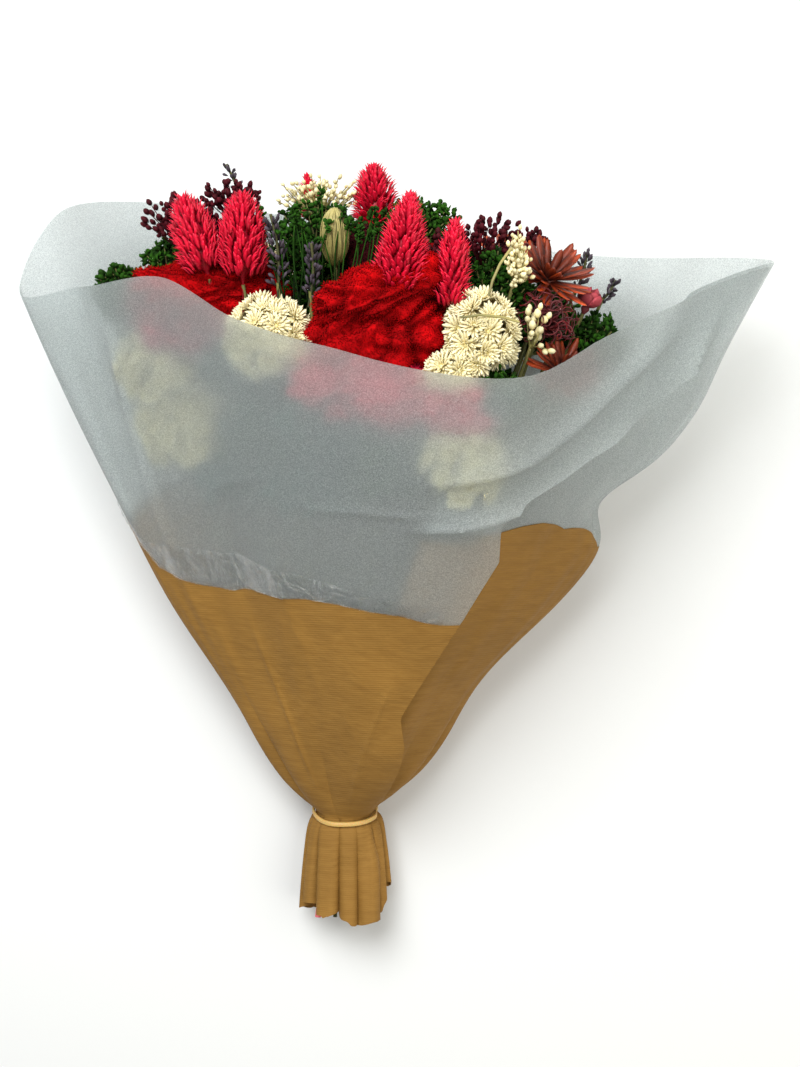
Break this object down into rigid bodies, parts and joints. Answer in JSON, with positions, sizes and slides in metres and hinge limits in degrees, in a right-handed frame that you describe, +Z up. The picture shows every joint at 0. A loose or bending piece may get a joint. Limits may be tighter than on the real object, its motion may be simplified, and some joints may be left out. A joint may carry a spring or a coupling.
{
  "type": "flower bouquet",
  "caption": "Mixed bouquet of dried and dyed flowers in a cone wrap of kraft paper and translucent fibre sheet, gathered with a rubber band, lying on its back.",
  "frame": {"origin": "on the surface that the bunch lies on, under the middle of its bounding box", "axes": "+X to the viewer's right as seen from the front panel, +Y from the cut stems to the flower heads, +Z up, out of the front panel"},
  "size_m": [0.4374, 0.4648, 0.2049],
  "materials": {
    "kraft_paper": "matte brown paper with fine laid lines",
    "fibre_sheet": "translucent off-white bonded fibre sheet",
    "rubber": "matte",
    "twine": "coarse twine",
    "dry_stem": "matte dry stem",
    "dyed_stem": "matte, dyed red",
    "red_velvet": "velvety",
    "burgundy_velvet": "velvety",
    "red_bract": "papery with a slight gloss",
    "white_bract": "papery with a slight gloss",
    "green_leaf": "matte, preserved leaf",
    "maroon_bud": "matte",
    "cream_bud": "matte",
    "lavender_calyx": "matte",
    "rust_petal": "papery with a slight gloss",
    "rose_petal": "papery",
    "straw": "dry straw"
  },
  "bodies": {
    "root": {"kraft_paper": "kraft_paper", "fibre_sheet": "fibre_sheet", "rubber_band": "rubber", "inner_tie": "twine", "stem_bundle": "dry_stem", "red_stem": "dyed_stem", "red_comb_left": "red_velvet", "red_comb_centre": "red_velvet", "burgundy_comb": "burgundy_velvet", "red_comb_back": "red_velvet", "red_spike_left": "red_bract", "red_spike_left_inner": "red_bract", "red_spike_right": "red_bract", "red_spike_right_small": "red_bract", "red_spike_top": "red_bract", "red_spike_top_small": "red_bract", "white_everlasting_left": "white_bract", "white_everlasting_right": "white_bract", "white_everlasting_low_left": "white_bract", "white_everlasting_low_right": "white_bract", "white_everlasting_back": "white_bract", "green_centre": "green_leaf", "green_left": "green_leaf", "green_left_inner": "green_leaf", "green_top": "green_leaf", "green_right": "green_leaf", "green_far_right": "green_leaf", "green_front": "green_leaf", "green_front_right": "green_leaf", "green_back": "green_leaf", "green_back_left": "green_leaf", "green_back_right": "green_leaf", "maroon_spray_left": "maroon_bud", "maroon_spray_top": "maroon_bud", "maroon_spray_right": "maroon_bud", "maroon_spray_far_right": "maroon_bud", "maroon_spray_back": "maroon_bud", "cream_spray_top": "cream_bud", "cream_spray_right": "cream_bud", "cream_spray_low": "cream_bud", "lavender_left": "lavender_calyx", "lavender_centre": "lavender_calyx", "lavender_top": "lavender_calyx", "lavender_right": "lavender_calyx", "lavender_far_right": "lavender_calyx", "rust_star": "rust_petal", "rust_star_low": "rust_petal", "rust_star_back": "rust_petal", "maroon_curls": "maroon_bud", "rose_bud": "rose_petal", "straw_head": "straw"}
  },
  "joints": []
}
